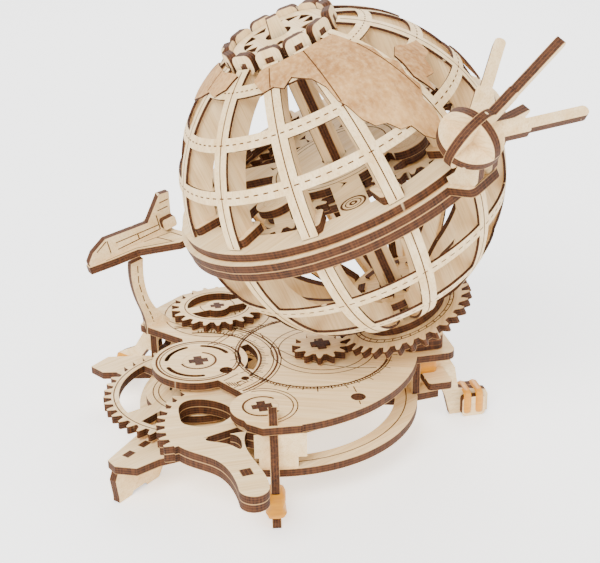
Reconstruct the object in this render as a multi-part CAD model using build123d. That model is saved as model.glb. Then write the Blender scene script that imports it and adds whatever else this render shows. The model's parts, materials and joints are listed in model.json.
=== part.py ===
from build123d import *
import os
from math import atan2, cos, degrees, hypot, pi, radians, sin, tan

os.makedirs("parts", exist_ok=True)

# A hand-driven plywood globe kit: a tilted openwork globe turns on a fixed column above
# a geared deck. Millimetres, +Z up, the tilt lies in the XZ plane.

# ---- driving dimensions ------------------------------------------------------------
PLY = 3.0            # sheet thickness of every flat piece
SLIP = 0.08          # radial running clearance
LAYER_GAP = 0.4      # clearance between turning sheets
MODULE = 1.5

BASE_Z = 12.0        # underside of the base plate
DRIVE_Z = 16.4       # underside of the drive gear
LEVER_Z = 20.0       # underside of the two-sheet lever
DECK_Z = 28.0        # underside of the deck
DECK_TOP = DECK_Z + PLY

GLOBE_CENTRE = (1.4, 0.0, 99.6)
TILT = 23.0
SKIN_R = 55.6
SKIN_T = 0.9
RIBS = 12
RIB_PHASE = -143.0

DRIVE_TEETH = 45
SHAFT_LOW_TEETH = 14
SHAFT_TOP_TEETH = 12
TILTED_TEETH = 32
HAND_TEETH = 22
HAND_LOW_TEETH = 8
SECTOR_TEETH = 46
LEVER_PINION_TEETH = 9
SUN_TEETH = 12
PLANET_TEETH = 24
RING_TEETH = 60

CROSS = 7.0          # width of a cross-shaped axle
CROSS_ARM = 3.0
BUSH_R = 5.6


def mesh_distance(teeth_a, teeth_b):
    return MODULE * (teeth_a + teeth_b) / 2


def polar(centre, radius, angle):
    return (centre[0] + radius * cos(radians(angle)), centre[1] + radius * sin(radians(angle)))


# Axle places, worked out from the centre distances of the gears.
SHAFT_AT = (-6.8, 0.0)
DRIVE_AT = polar(SHAFT_AT, mesh_distance(DRIVE_TEETH, SHAFT_LOW_TEETH), 172.0)
LEVER_AT = polar(DRIVE_AT, mesh_distance(SECTOR_TEETH, LEVER_PINION_TEETH), -67.0)
HAND_AT = polar(DRIVE_AT, mesh_distance(DRIVE_TEETH, HAND_LOW_TEETH), 71.0)
BASE_AT = (-22.0, 3.0)
DECK_AT = (-27.0, 10.8)
BASE_R = 50.9
DECK_R = 57.7


# ---- small helpers -----------------------------------------------------------------
def at(point, shape):
    return Pos(point[0], point[1], 0) * shape


def sheet(outline, z, thickness=PLY):
    return extrude(Pos(0, 0, z) * outline, amount=thickness)


def polygon(*points):
    return make_face(Polyline(*points, close=True))


def smooth(*points):
    return make_face(Spline(*points, periodic=True))


def annulus(outer, inner):
    return Circle(outer) - Circle(inner)


def sector(outer, inner, start, end, steps=12):
    angles = [start + (end - start) * i / steps for i in range(steps + 1)]
    far = outer * 1.5
    wedge = polygon((0, 0), *[(far * cos(radians(a)), far * sin(radians(a))) for a in angles])
    return annulus(outer, inner) & wedge


def arc_slot(radius, width, start, end):
    ends = [Pos(*polar((0, 0), radius, a)) * Circle(width / 2) for a in (start, end)]
    return sector(radius + width / 2, radius - width / 2, start, end) + ends[0] + ends[1]


def cross_outline(width=CROSS, arm=CROSS_ARM):
    return Rectangle(width, arm) + Rectangle(arm, width)


def rounded(width, height, radius):
    return RectangleRounded(width, height, radius)


def gear_points(teeth, outer, root, tip_half, pitch_half, root_half, phase):
    pitch = MODULE * teeth / 2
    points = []
    for i in range(teeth):
        centre = phase + 360 * i / teeth
        for radius, half in ((root, -root_half), (pitch, -pitch_half), (outer, -tip_half),
                             (outer, tip_half), (pitch, pitch_half), (root, root_half)):
            points.append(polar((0, 0), radius, centre + degrees(half / radius)))
    return points


def gear(teeth, phase=0.0, slim=0.80, addendum=0.85, flank=24.0):
    """A toothed disc whose flanks are straight, with its first tooth at the phase angle."""
    pitch = MODULE * teeth / 2
    outer = pitch + addendum * MODULE
    root = pitch - 1.10 * MODULE
    pitch_half = slim * pi * MODULE / 4
    tip_half = pitch_half - (outer - pitch) * tan(radians(flank)) * 0.9
    root_half = min(pitch_half + (pitch - root) * tan(radians(flank * 0.6)), 0.47 * 2 * pi * root / teeth)
    return polygon(*gear_points(teeth, outer, root, tip_half, pitch_half, root_half, phase))


def tooth_spaces(teeth, phase=0.0):
    """The outline that is cut away inside an internal gear; its first space is at phase."""
    pitch = MODULE * teeth / 2
    return polygon(*gear_points(teeth, pitch + 1.15 * MODULE, pitch - 0.85 * MODULE,
                                0.55, 1.42, 1.95, phase))


nodes = {}


def keep(name, *solids):
    nodes[name] = []
    for solid in solids:
        nodes[name] += solid.solids()


globe_place = Pos(*GLOBE_CENTRE) * Rot(0, -TILT, 0)


def keep_tilted(name, *solids):
    moved = []
    for solid in solids:
        moved += [globe_place * s for s in solid.solids()]
    keep(name, *moved)


# ---- base plate, deck and legs -----------------------------------------------------
def base_plate():
    left_tab = polygon((-58, -4), (-75, -12.5), (-87, -27.5), (-85, -32), (-78, -35), (-70, -31), (-60, -29))
    rear_tab = polygon((-56, 30), (-84, 36), (-88, 42), (-81, 48.5), (-56, 44))
    body = at(BASE_AT, Circle(BASE_R)) + left_tab + rear_tab
    body += polygon((20, -10), (36, -8), (36, 8), (20, 10))
    body -= at(BASE_AT, sector(42.7, 25.0, -98, -18))
    body -= at(BASE_AT, sector(42.7, 25.0, 28, 92))
    for place in (SHAFT_AT, DRIVE_AT, LEVER_AT, HAND_AT):
        body -= at(place, Circle(BUSH_R + SLIP))
    for hole in LEFT_LEG_HOLES:
        body -= Pos(*hole) * Rot(0, 0, LEFT_LEG_ANGLE) * Rectangle(4, PLY)
    return sheet(body, BASE_Z)


LEFT_LEG_ANGLE = 42.0
LEFT_LEG_START = (-85.3, -30.4)
LEFT_LEG_HOLES = [polar(LEFT_LEG_START, 7.6, LEFT_LEG_ANGLE), polar(LEFT_LEG_START, 15.4, LEFT_LEG_ANGLE)]


def deck_outline():
    bound = polygon((-54, 25), (-68, 41), (-62, 53), (-45, 68), (60, 68), (60, -60), (-28, -60),
                    (-33, -40), (-40, -20), (-46, -10), (-54, -4))
    body = (at(DECK_AT, Circle(DECK_R)) & bound) + at(DRIVE_AT, Circle(16.8))
    body += at(LEVER_AT, Circle(10.8)) + polygon((-43, -35), (-41.5, -42), (-37, -46.2), (-24, -47.3), (-24, -30))
    body += Pos(29, 0) * rounded(26, 20, 4)
    return body


def deck():
    body = deck_outline()
    for place in (SHAFT_AT, DRIVE_AT, LEVER_AT, HAND_AT):
        body -= at(place, Circle(BUSH_R + SLIP))
    for start, end in ((20, 75), (105, 165), (195, 270)):
        body -= at(DRIVE_AT, arc_slot(11.6, 1.6, start, end))
    body -= at(DRIVE_AT, sector(21.6, 17.8, -33, 24))
    body -= Pos(-42.0, -3.4) * Circle(2.4)
    body -= Pos(-36.5, -11.0) * Circle(1.5)
    body -= Pos(-1.4, -33.4) * Circle(2.6)
    body -= Pos(*COLUMN_FOOT) * Rectangle(11.0, PLY)
    body -= front_leg_slot()
    body -= Pos(*polar(ARM_AT, -1.0, ARM_ANGLE)) * Rot(0, 0, ARM_ANGLE) * Rectangle(10, PLY)
    return sheet(body, DECK_Z)


COLUMN_FOOT = (GLOBE_CENTRE[0] + (GLOBE_CENTRE[2] - DECK_TOP + 1.0) * tan(radians(TILT)), 0.0)
FRONT_LEG_AT = (-32.6, -41.0)
FRONT_LEG_ANGLE = -99.0
ARM_AT = (-61.0, 41.5)
ARM_ANGLE = 20.0


FRONT_LAP = 21.5


def front_leg_slot():
    return Pos(*polar(FRONT_LEG_AT, 1.5, FRONT_LEG_ANGLE)) * Rot(0, 0, FRONT_LEG_ANGLE) * Rectangle(6, PLY)


def upright(outline, place, angle, thickness=PLY):
    """Stand a flat outline up: its x runs along the angle and its y runs up."""
    solid = extrude(outline, amount=thickness / 2, both=True)
    return Pos(place[0], place[1], 0) * Rot(0, 0, angle) * Rot(90, 0, 0) * solid


def front_leg():
    outline = polygon((-1.5, DECK_Z), (-1.5, 34), (-0.7, 35), (3.5, 35), (4.5, 34), (4.5, DECK_Z), (7.5, 26), (9, 22),
                      (13, 10), (17.5, 2), (17.5, 0), (11.5, 0), (9.5, 4), (5.9, BASE_Z), (5.9, BASE_Z + PLY),
                      (4.8, BASE_Z + PLY), (4.8, FRONT_LAP), (1.8, FRONT_LAP), (1.8, DECK_Z))
    return upright(outline, FRONT_LEG_AT, FRONT_LEG_ANGLE)


def left_leg():
    outline = polygon((0, 0), (0, 2), (-1, BASE_Z - 3), (0.5, BASE_Z), (5.6, BASE_Z), (5.6, BASE_Z + PLY),
                      (9.6, BASE_Z + PLY), (9.6, BASE_Z), (13.4, BASE_Z), (13.4, BASE_Z + PLY),
                      (17.4, BASE_Z + PLY), (17.4, BASE_Z), (25, BASE_Z), (23, 4), (20, 0),
                      (14, 0), (13, 1.2), (7, 1.2), (6, 0))
    return upright(outline, LEFT_LEG_START, LEFT_LEG_ANGLE)


def right_leg():
    outline = polygon((30, BASE_Z + PLY), (30, DECK_Z), (41, DECK_Z), (41.5, DECK_Z - 3), (44.5, 20), (46, 11),
                      (57, 9), (58, 7), (58, 0), (43, 0), (41, 8), (38, BASE_Z + PLY))
    return upright(outline, (0, 0), 0)


REAR_LEG_AT = (-62.5, 50.0)
REAR_LEG_ANGLE = 128.0


def rear_leg():
    outline = polygon((-3, BASE_Z + PLY + 0.0), (-3, DECK_Z), (1.5, DECK_Z), (3, 24), (10, 14), (19, 9),
                      (20, 7), (20, 0), (11, 0), (8, BASE_Z - 3), (3, BASE_Z + PLY))
    return upright(outline, REAR_LEG_AT, REAR_LEG_ANGLE)


def front_spacer():
    outline = polygon((-6.5, DECK_Z), (-6.5, 19), (-5, 19), (-5, BASE_Z + PLY), (8, BASE_Z + PLY), (8, 19),
                      (11, 19), (11, DECK_Z))
    outline -= Pos(0, (FRONT_LAP + DECK_Z) / 2) * Rectangle(PLY, DECK_Z - FRONT_LAP)
    return upright(outline, polar(FRONT_LEG_AT, 3.3, FRONT_LEG_ANGLE), FRONT_LEG_ANGLE + 90)


def rear_spacers():
    plate = polygon((-9, BASE_Z + PLY), (9, BASE_Z + PLY), (9, DECK_Z), (-9, DECK_Z))
    window = Pos(0, 21.5) * rounded(9, 6, 1.5)
    shorter = plate - window - Pos(-8, 20) * Rectangle(5.0, 20)
    first = upright(shorter, (-60.0, 44.5), 50)
    second = upright(plate - window, (12.0, 30.0), 60)
    third = upright(plate, (27.0, 0), 90)
    return [first, second, third]


def right_leg_locks():
    tab = sheet(Pos(35, -7.5) * rounded(9, 12, 1.5), DECK_Z - 10)
    near_pad = upright(Pos(51.5, 4) * rounded(9, 8, 1.5), (0, -PLY), 0)
    far_pad = upright(Pos(50, 5) * rounded(10, 10, 1.5), (0, PLY), 0)
    return [tab, near_pad, far_pad]


def band(place, angle, width, depth, low, high, thickness=1.1):
    ring = rounded(width + 2 * thickness, depth + 2 * thickness, thickness) - Rectangle(width, depth)
    return Pos(*place, 0) * Rot(0, 0, angle) * sheet(ring, low, high - low)


def rubber_bands():
    front = band(polar(FRONT_LEG_AT, 11.2, FRONT_LEG_ANGLE), FRONT_LEG_ANGLE, 13.0, PLY, 5.0, 10.0)
    right = band((49.6, 0), 0, 17.4, 3 * PLY, 2.0, 6.0)
    rear = band(polar(REAR_LEG_AT, 14.5, REAR_LEG_ANGLE), REAR_LEG_ANGLE, 12.5, PLY, 4.0, 8.0)
    return [front, right, rear]


FOOT_X = 14.5
FOOT_Y = 14.0


def column_foot():
    """Two stacked sheets whose slots hold the slanted column strip."""
    sheets = []
    for level in range(2):
        z = DECK_TOP + level * PLY
        middle = column_x(z + PLY / 2)
        outline = Pos(COLUMN_FOOT[0], 0) * rounded(FOOT_X, FOOT_Y, 3) - Pos(middle, 0) * Rectangle(11.0, PLY)
        sheets.append(sheet(outline, z))
    return sheets


def column_x(z):
    """Where the tilted axis passes at height z."""
    return GLOBE_CENTRE[0] + (GLOBE_CENTRE[2] - z) * tan(radians(TILT))


keep("base_plate", base_plate())
keep("deck", deck())
keep("front_leg", front_leg())
keep("left_leg", left_leg())
keep("right_leg", right_leg())
keep("rear_leg", rear_leg())
keep("front_spacer", front_spacer())
keep("deck_spacers", *rear_spacers())
keep("right_leg_locks", *right_leg_locks())
keep("rubber_bands", *rubber_bands())
keep("column_foot", *column_foot())


# ---- gear train under and on the deck ----------------------------------------------
def cross_axle(place, low, high, width=CROSS, arm=CROSS_ARM):
    return at(place, sheet(cross_outline(width, arm), low, high - low))


def bushes(place, width=CROSS, arm=CROSS_ARM):
    """Round bearing discs in the base plate and the deck, square on the axle."""
    disc = Circle(BUSH_R) - cross_outline(width, arm)
    return [at(place, sheet(disc, z)) for z in (BASE_Z, DECK_Z)]


def turned(angle, shape):
    return Rot(0, 0, angle) * shape


def toward(start, end):
    return degrees(atan2(end[1] - start[1], end[0] - start[0]))


SMALL_CROSS = 5.4
SMALL_ARM = 2.4
DRIVE_BORE = 7.3
TO_SHAFT = toward(DRIVE_AT, SHAFT_AT)
TO_HAND = toward(DRIVE_AT, HAND_AT)
TO_LEVER = toward(DRIVE_AT, LEVER_AT)


def drive_gear():
    """The large wheel: its first tooth points at the middle shaft."""
    disc = gear(DRIVE_TEETH, TO_SHAFT) - Circle(DRIVE_BORE)
    for middle in (75, 165, 255, 345):
        disc -= sector(29.4, 19.6, middle - 37, middle + 37)
    for middle in (0, 120, 240):
        disc -= arc_slot(10.6, 1.0, middle, middle + 50)
    return at(DRIVE_AT, sheet(disc, DRIVE_Z))


def mating_phase(own_teeth, driver_teeth, driver_phase, direction):
    """Phase of a follower so that a gap meets the driver's tooth along the direction."""
    driver_pitch = 360 / driver_teeth
    lead = ((direction - driver_phase) / driver_pitch) % 1.0
    return direction + 180 + (0.5 + lead) * 360 / own_teeth


keep("drive_gear", drive_gear())

low_phase = mating_phase(SHAFT_LOW_TEETH, DRIVE_TEETH, TO_SHAFT, TO_SHAFT)
keep("shaft_low_pinion", at(SHAFT_AT, sheet(gear(SHAFT_LOW_TEETH, low_phase) - cross_outline(), DRIVE_Z)))
SHAFT_TOP_Z = DECK_TOP + 1.0
keep("shaft_top_pinion", at(SHAFT_AT, sheet(gear(SHAFT_TOP_TEETH, 180 / SHAFT_TOP_TEETH) - cross_outline(),
                                            SHAFT_TOP_Z)))
shaft_collar = at(SHAFT_AT, sheet(Circle(7.0) - cross_outline(), DRIVE_Z + PLY, 6.0))
keep("shaft_axle", cross_axle(SHAFT_AT, BASE_Z, SHAFT_TOP_Z + PLY + 0.8), *bushes(SHAFT_AT), shaft_collar)

hand_phase = mating_phase(HAND_LOW_TEETH, DRIVE_TEETH, TO_SHAFT, TO_HAND)
hand_cross = cross_outline(SMALL_CROSS, SMALL_ARM)
HAND_Z = DECK_TOP + LAYER_GAP


def hand_wheel():
    disc = gear(HAND_TEETH, 0) - hand_cross
    for side in (0, 180):
        window = (Circle(11.6) - Circle(4.6)) & (Pos(0, 9.4) * Rectangle(30, 14))
        disc -= turned(side + 12, window)
    return at(HAND_AT, sheet(disc, HAND_Z))


keep("hand_wheel", hand_wheel())
keep("hand_pinion", at(HAND_AT, sheet(gear(HAND_LOW_TEETH, hand_phase) - hand_cross, DRIVE_Z)))
keep("hand_axle", cross_axle(HAND_AT, BASE_Z, HAND_Z + PLY, SMALL_CROSS, SMALL_ARM),
     *bushes(HAND_AT, SMALL_CROSS, SMALL_ARM))

LEVER_THICK = 2 * PLY
SECTOR_START = 95.0
SECTOR_END = 199.0


def ratchet_wheel():
    teeth = 12
    points = []
    for i in range(teeth):
        points.append(polar((0, 0), DRIVE_BORE - 0.1, 360 * i / teeth))
        points.append(polar((0, 0), DRIVE_BORE - 1.5, 360 * (i + 0.12) / teeth))
    return at(DRIVE_AT, sheet(polygon(*points) - cross_outline(), DRIVE_Z))


keep("lever_pinion", at(DRIVE_AT, sheet(gear(LEVER_PINION_TEETH, TO_LEVER) - cross_outline(), LEVER_Z,
                                        LEVER_THICK)))
keep("ratchet_wheel", ratchet_wheel())
keep("drive_axle", cross_axle(DRIVE_AT, BASE_Z, DECK_TOP), *bushes(DRIVE_AT))


def lever_outline():
    """A toothed sector on a hub, with a curved handle that ends in a ribbed grip."""
    sector_phase = mating_phase(SECTOR_TEETH, LEVER_PINION_TEETH, TO_LEVER, TO_LEVER)
    teeth = gear(SECTOR_TEETH, sector_phase)
    wedge = polygon((0, 0), *[polar((0, 0), 60, a) for a in range(int(SECTOR_START), int(SECTOR_END) + 1, 8)])
    handle = make_face(
        Spline((-31, -8), (-26, -15), (-19, -22), (-15.5, -32), (-15, -40))
        + ThreePointArc((-15, -40), (-10.5, -45), (-5.5, -41))
        + Spline((-5.5, -41), (-5.5, -34), (-7.5, -24), (-8.5, -14), (-6.5, -6.5))
        + Line((-6.5, -6.5), (-31, -8)))
    body = (teeth & wedge) + handle + Circle(9.6)
    pear = smooth((-27, 11), (-22, 19), (-15, 17), (-9, 7), (-13, 1.5), (-21, 0), (-26, 3))
    slot = smooth((-20, -7.5), (-13, -6.5), (-10, -9), (-10.5, -17), (-14, -13))
    body -= pear + slot + Pos(-11.0, -31.0) * Rot(0, 0, 8) * Rectangle(4, 4)
    body -= cross_outline()
    for i in range(6):
        body -= Pos(*polar((-10.4, -40.5), 5.3, 190 + 28 * i)) * Circle(0.6)
    return body


lever_sheet = lever_outline()
keep("lever_lower", at(LEVER_AT, sheet(lever_sheet, LEVER_Z)))
keep("lever_upper", at(LEVER_AT, sheet(lever_sheet, LEVER_Z + PLY)))
keep("lever_axle", cross_axle(LEVER_AT, BASE_Z, DECK_TOP), *bushes(LEVER_AT))
keep("lever_dowel", at(LEVER_AT, Pos(-11.0, -31.0) * Rot(0, 0, 8) * sheet(Rectangle(4, 4), LEVER_Z, LEVER_THICK)))


# ---- column and globe, in the tilted frame -----------------------------------------
STRIP = 8.0
HUB_BORE = 4.45      # clears the corners of the crossed column strips
COLUMN_LOW = -(GLOBE_CENTRE[2] - DECK_Z - 2.0) / cos(radians(TILT))
COLUMN_HIGH = 60.0
SHORT_LOW = -64.6
SHORT_HIGH = 50.0
LAP = -7.0
EQ_TOP = 7.0
EQ_UPPER_Z = 4.0
RING_Z = 0.8
EQ_LOWER_Z = -2.4
EQ_UPPER_R = 57.0
EQ_LOWER_R = 58.6
RING_R = 58.8
GEAR_Z = -61.5
HUB_LOW_Z = -58.5
HUB_HIGH_Z = -49.0
POLE_Z = 51.0
RIB_DEPTH = 8.5
SHELL_R = SKIN_R - SKIN_T
RIB_R = SHELL_R - 0.03      # a flat rib's edge stands just inside the round skin
PLANET_ANGLES = (-156.0, -36.0, 84.0)
PLANET_OUT = mesh_distance(SUN_TEETH, PLANET_TEETH)


def column_strips():
    """The long strip lies in the tilt plane, the short one crosses it in a halved joint."""
    outline = polygon((-STRIP / 2, COLUMN_LOW), (STRIP / 2, COLUMN_LOW), (STRIP / 2, 46), (1.8, COLUMN_HIGH),
                      (-1.8, COLUMN_HIGH), (-STRIP / 2, 46))
    outline -= Pos(0, (SHORT_LOW + LAP) / 2) * Rectangle(PLY, LAP - SHORT_LOW)
    for z in (-44.0, -14.0, 24.0):
        outline -= Pos(0, z) * Rectangle(3.4, 6.0)
    long_strip = Rot(90, 0, 0) * extrude(outline, amount=PLY / 2, both=True)
    middle = (SHORT_HIGH + SHORT_LOW) / 2
    slot_middle = (SHORT_HIGH + LAP) / 2 - middle
    cross = Rectangle(STRIP, SHORT_HIGH - SHORT_LOW) - Pos(0, slot_middle) * Rectangle(PLY, SHORT_HIGH - LAP)
    short = Rot(0, 0, 90) * Rot(90, 0, 0) * extrude(Pos(0, middle) * cross, amount=PLY / 2, both=True)
    return long_strip, short


long_strip, short_strip = column_strips()
keep_tilted("column_strip_long", long_strip)
keep_tilted("column_strip_short", short_strip)
strip_cross = cross_outline(STRIP, PLY)
keep_tilted("column_collars", sheet(Circle(8.0) - strip_cross, GEAR_Z - 0.1 - PLY),
            sheet(Circle(5.6) - strip_cross, 40.0))
keep_tilted("sun_gear", sheet(gear(SUN_TEETH, PLANET_ANGLES[0]) - strip_cross, RING_Z))


def equator_plate(radius, z):
    """A turning plate: a hub disc and a rim joined by three spokes between the planets."""
    plate = Circle(radius) - Circle(HUB_BORE)
    windows = annulus(46.5, 23.0)
    for angle in PLANET_ANGLES:
        windows -= turned(angle + 60, Pos(35, 0) * Rectangle(30, 10.0))
        windows -= Pos(*polar((0, 0), PLANET_OUT, angle)) * Circle(7.0)
    plate -= windows
    for angle in PLANET_ANGLES:
        plate -= Pos(*polar((0, 0), PLANET_OUT, angle)) * Circle(PLANET_BUSH + SLIP)
    for angle in PLANET_ANGLES:
        plate -= turned(angle + 60, Pos(24.5, 0) * polygon((-2.4, -2.0), (0, 0.9), (2.4, -2.0), (0, -0.6)))
    return sheet(plate, z)


PLANET_BUSH = 4.2
keep_tilted("equator_upper_plate", equator_plate(EQ_UPPER_R, EQ_UPPER_Z))
keep_tilted("equator_lower_plate", equator_plate(EQ_LOWER_R, EQ_LOWER_Z))


def planet(index, angle):
    """A wheel with an S-shaped spoke, its bearing discs and its axle."""
    middle = polar((0, 0), PLANET_OUT, angle)
    disc = gear(PLANET_TEETH, angle + 180 / PLANET_TEETH) - hand_cross
    for side in (0, 180):
        window = (Circle(13.2) - Circle(5.2)) & (Pos(0, 10.4) * Rectangle(30, 15))
        disc -= turned(side + angle + 60, window)
    axle = sheet(hand_cross, EQ_LOWER_Z, EQ_TOP - EQ_LOWER_Z)
    journal = Circle(PLANET_BUSH) - hand_cross
    letter = "abc"[index]
    place = Pos(*middle, 0)
    keep_tilted(f"planet_{letter}_gear", place * sheet(disc, RING_Z))
    keep_tilted(f"planet_{letter}_axle", place * axle, place * sheet(journal, EQ_UPPER_Z),
                place * sheet(journal, EQ_LOWER_Z))


for index, angle in enumerate(PLANET_ANGLES):
    planet(index, angle)

SAT_ANGLE = -61.5
SAT_R = 69.0
SAT_Z = 17.5
SAT_DISC_R = 10.0


def orbit_ring():
    ring = Circle(RING_R) - tooth_spaces(RING_TEETH, PLANET_ANGLES[0] + 180 / RING_TEETH)
    ring += turned(SAT_ANGLE, Pos(62, 0) * rounded(14, 13, 2))
    return sheet(ring, RING_Z)


keep_tilted("orbit_ring", orbit_ring())


def satellite_frame():
    """Local axes at the satellite: X out from the globe, Y along the orbit, Z along the axis."""
    return Rot(0, 0, SAT_ANGLE) * Pos(SAT_R, 0, SAT_Z)


def antenna(side):
    """One stepped arm of an antenna pair, splayed from the orbit direction."""
    arm = Pos(12.5, 0) * rounded(13, 5.6, 1.0) + Pos(27.2, 0) * rounded(25, 3.6, 1.7)
    return turned(side * 26.0, arm)


def satellite_discs():
    """Three discs at right angles: two carry the antennas, the third is four quarters."""
    half = extrude(Circle(SAT_DISC_R) + (antenna(1) + antenna(-1) - Circle(SAT_DISC_R - 1)),
                   amount=PLY / 2, both=True)
    reach = 100.0
    front = Pos(reach / 2 - PLY / 2, 0, 0) * Box(reach, PLY, 4 * SAT_DISC_R)
    back = Pos(-reach / 2 - PLY / 2, 0, 0) * Box(reach, PLY, 4 * SAT_DISC_R)
    first = Rot(0, 45, 0) * Rot(0, 0, 90) * (half - back)
    second = Rot(0, -45, 0) * Rot(0, 0, 90) * (half - front)
    across = Rot(90, 0, 0) * extrude(Circle(SAT_DISC_R), amount=PLY / 2, both=True)
    for tip in (45, -45):
        across -= Rot(0, tip, 0) * Box(4 * SAT_DISC_R, 4 * SAT_DISC_R, PLY)
    return first, second, across


sat_frame = satellite_frame()
for letter, disc in zip("abc", satellite_discs()):
    keep_tilted(f"satellite_disc_{letter}", sat_frame * disc)


def satellite_bracket():
    low = RING_Z + PLY
    top = SAT_Z - 2.6
    outline = polygon((58.2, low), (68.4, low), (70.5, low + 1.5), (SAT_R + 4.5, top - 4.5), (SAT_R, top),
                      (SAT_R - 6.5, top - 6.5), (59.5, 7.0), (58.2, 6.4))
    plates = []
    for offset in (-3.4, 3.4):
        plates.append(Rot(0, 0, SAT_ANGLE) * Pos(0, offset, 0) * Rot(90, 0, 0)
                      * extrude(outline, amount=PLY / 2, both=True))
    return plates


keep_tilted("satellite_bracket", *satellite_bracket())


# ---- ribs, skin and poles ----------------------------------------------------------
def rib_angle(index):
    return RIB_PHASE + 360 * index / RIBS


def sphere_r(z, radius):
    return (radius ** 2 - z ** 2) ** 0.5


def arc_from(radius, start, end):
    """An arc about the origin in the (r, z) plane between two points at that radius."""
    a0 = degrees(atan2(start[1], start[0]))
    a1 = degrees(atan2(end[1], end[0]))
    return ThreePointArc(start, polar((0, 0), radius, (a0 + a1) / 2), end)


def standing(outline, thickness, angle):
    return Rot(0, 0, angle) * Rot(90, 0, 0) * extrude(outline, amount=thickness / 2, both=True)


CAP_R = 16.2
CAP_OUT = CAP_R + PLY
CAP_SLOT_TOP = 53.6


def north_rib():
    inner_r = RIB_R - RIB_DEPTH
    foot_out = (sphere_r(EQ_TOP, RIB_R), EQ_TOP)
    foot_in = (sphere_r(EQ_TOP, inner_r), EQ_TOP)
    tip_out = (CAP_OUT, sphere_r(CAP_OUT, RIB_R))
    tip_in = (sphere_r(43.5, inner_r), 43.5)
    edges = (arc_from(RIB_R, foot_out, tip_out) + Line(tip_out, (CAP_OUT, CAP_SLOT_TOP))
             + Line((CAP_OUT, CAP_SLOT_TOP), (16.0, CAP_SLOT_TOP)) + Line((16.0, CAP_SLOT_TOP), (16.0, 46.0))
             + Line((16.0, 46.0), tip_in) + arc_from(inner_r, tip_in, foot_in) + Line(foot_in, foot_out))
    return make_face(edges)


def south_rib():
    inner_r = RIB_R - RIB_DEPTH
    foot_out = (sphere_r(EQ_LOWER_Z, RIB_R), EQ_LOWER_Z)
    foot_in = (sphere_r(EQ_LOWER_Z, inner_r), EQ_LOWER_Z)
    tip_out = (16.0, -sphere_r(16.0, RIB_R))
    tip_in = (sphere_r(41.0, inner_r), -41.0)
    edges = (arc_from(RIB_R, foot_out, tip_out) + Line(tip_out, (16.0, -45.0)) + Line((16.0, -45.0), tip_in)
             + arc_from(inner_r, tip_in, foot_in) + Line(foot_in, foot_out))
    return make_face(edges)


def ribs(outline):
    return [standing(outline, PLY, rib_angle(i)) for i in range(RIBS)]


keep_tilted("ribs_north", *ribs(north_rib()))
keep_tilted("ribs_south", *ribs(south_rib()))


def rib_feet():
    feet = []
    for i in range(RIBS):
        north = Pos(48.3, 0) * rounded(10.6, 7.6, 1.6) - Pos(50.0, 0) * Rectangle(10, PLY)
        for z in (EQ_TOP, EQ_LOWER_Z - PLY):
            feet.append(turned(rib_angle(i), sheet(north, z)))
    return feet


keep_tilted("rib_feet", *rib_feet())

MERIDIAN_W = 5.4
PARALLEL_W = 4.4
SKIN_TOP_R = 19.4
SKIN_LOW_R = 17.0
NORTH_PARALLELS = (25.0, 42.0, 60.0)
SOUTH_PARALLELS = (-22.0, -42.0)


def shell_section(lat0, lat1):
    """The (r, z) section of the skin between two latitudes."""
    def spot(radius, lat):
        return (radius * cos(radians(lat)), radius * sin(radians(lat)))
    middle = (lat0 + lat1) / 2
    edges = (ThreePointArc(spot(SHELL_R, lat0), spot(SHELL_R, middle), spot(SHELL_R, lat1))
             + Line(spot(SHELL_R, lat1), spot(SKIN_R, lat1))
             + ThreePointArc(spot(SKIN_R, lat1), spot(SKIN_R, middle), spot(SKIN_R, lat0))
             + Line(spot(SKIN_R, lat0), spot(SHELL_R, lat0)))
    return Rot(90, 0, 0) * make_face(edges)


def skin(lat0, lat1, parallels):
    """Meridian strips over the ribs and the parallel strips between them."""
    sweep = 360 / RIBS
    meridians = []
    parts = []
    slab = Box(120, MERIDIAN_W, 130)
    for i in range(RIBS):
        lune = Rot(0, 0, rib_angle(i) - sweep / 2) * revolve(shell_section(lat0, lat1), Axis.Z, sweep)
        meridians.append(lune & (Rot(0, 0, rib_angle(i)) * slab))
        for lat in parallels:
            half = degrees(PARALLEL_W / 2 / SKIN_R)
            strip = revolve(shell_section(lat - half, lat + half), Axis.Z, sweep)
            strip = Rot(0, 0, rib_angle(i)) * strip
            strip -= Rot(0, 0, rib_angle(i)) * slab
            strip -= Rot(0, 0, rib_angle(i + 1)) * slab
            parts.append(strip)
    return meridians + parts


NORTH_SPAN = (7.6, 69.0)
SOUTH_SPAN = (-71.5, -3.2)
keep_tilted("skin_north", *skin(*NORTH_SPAN, NORTH_PARALLELS))
keep_tilted("skin_south", *skin(*SOUTH_SPAN, SOUTH_PARALLELS))


def land(outline):
    """A thin patch of land on the skin, bounded by (longitude, latitude) corners."""
    lons = [(lon - outline[0][0] + 180) % 360 - 180 + outline[0][0] for lon, lat in outline]
    lats = [min(lat, LAND_TOP_LAT) for lon, lat in outline]
    mid_lon = (min(lons) + max(lons)) / 2
    mid_lat = (min(lats) + max(lats)) / 2
    tip = radians(90 - mid_lat)
    corners = []
    for lon, lat in zip(lons, lats):
        x = cos(radians(lat)) * cos(radians(lon - mid_lon))
        y = cos(radians(lat)) * sin(radians(lon - mid_lon))
        z = sin(radians(lat))
        forward = x * sin(tip) + z * cos(tip)
        across = x * cos(tip) - z * sin(tip)
        corners.append((LAND_FACE * across / forward, LAND_FACE * y / forward))
    nearer = [(u * LAND_NEAR / LAND_FACE, v * LAND_NEAR / LAND_FACE) for u, v in corners]
    cone = loft([Pos(0, 0, LAND_NEAR) * polygon(*nearer), Pos(0, 0, LAND_FACE) * polygon(*corners)], ruled=True)
    shell = Sphere(SKIN_R + 0.05 + LAND_T) - Sphere(SKIN_R + 0.05)
    return Rot(0, 0, mid_lon) * Rot(0, 90 - mid_lat, 0) * (shell & cone)


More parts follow.
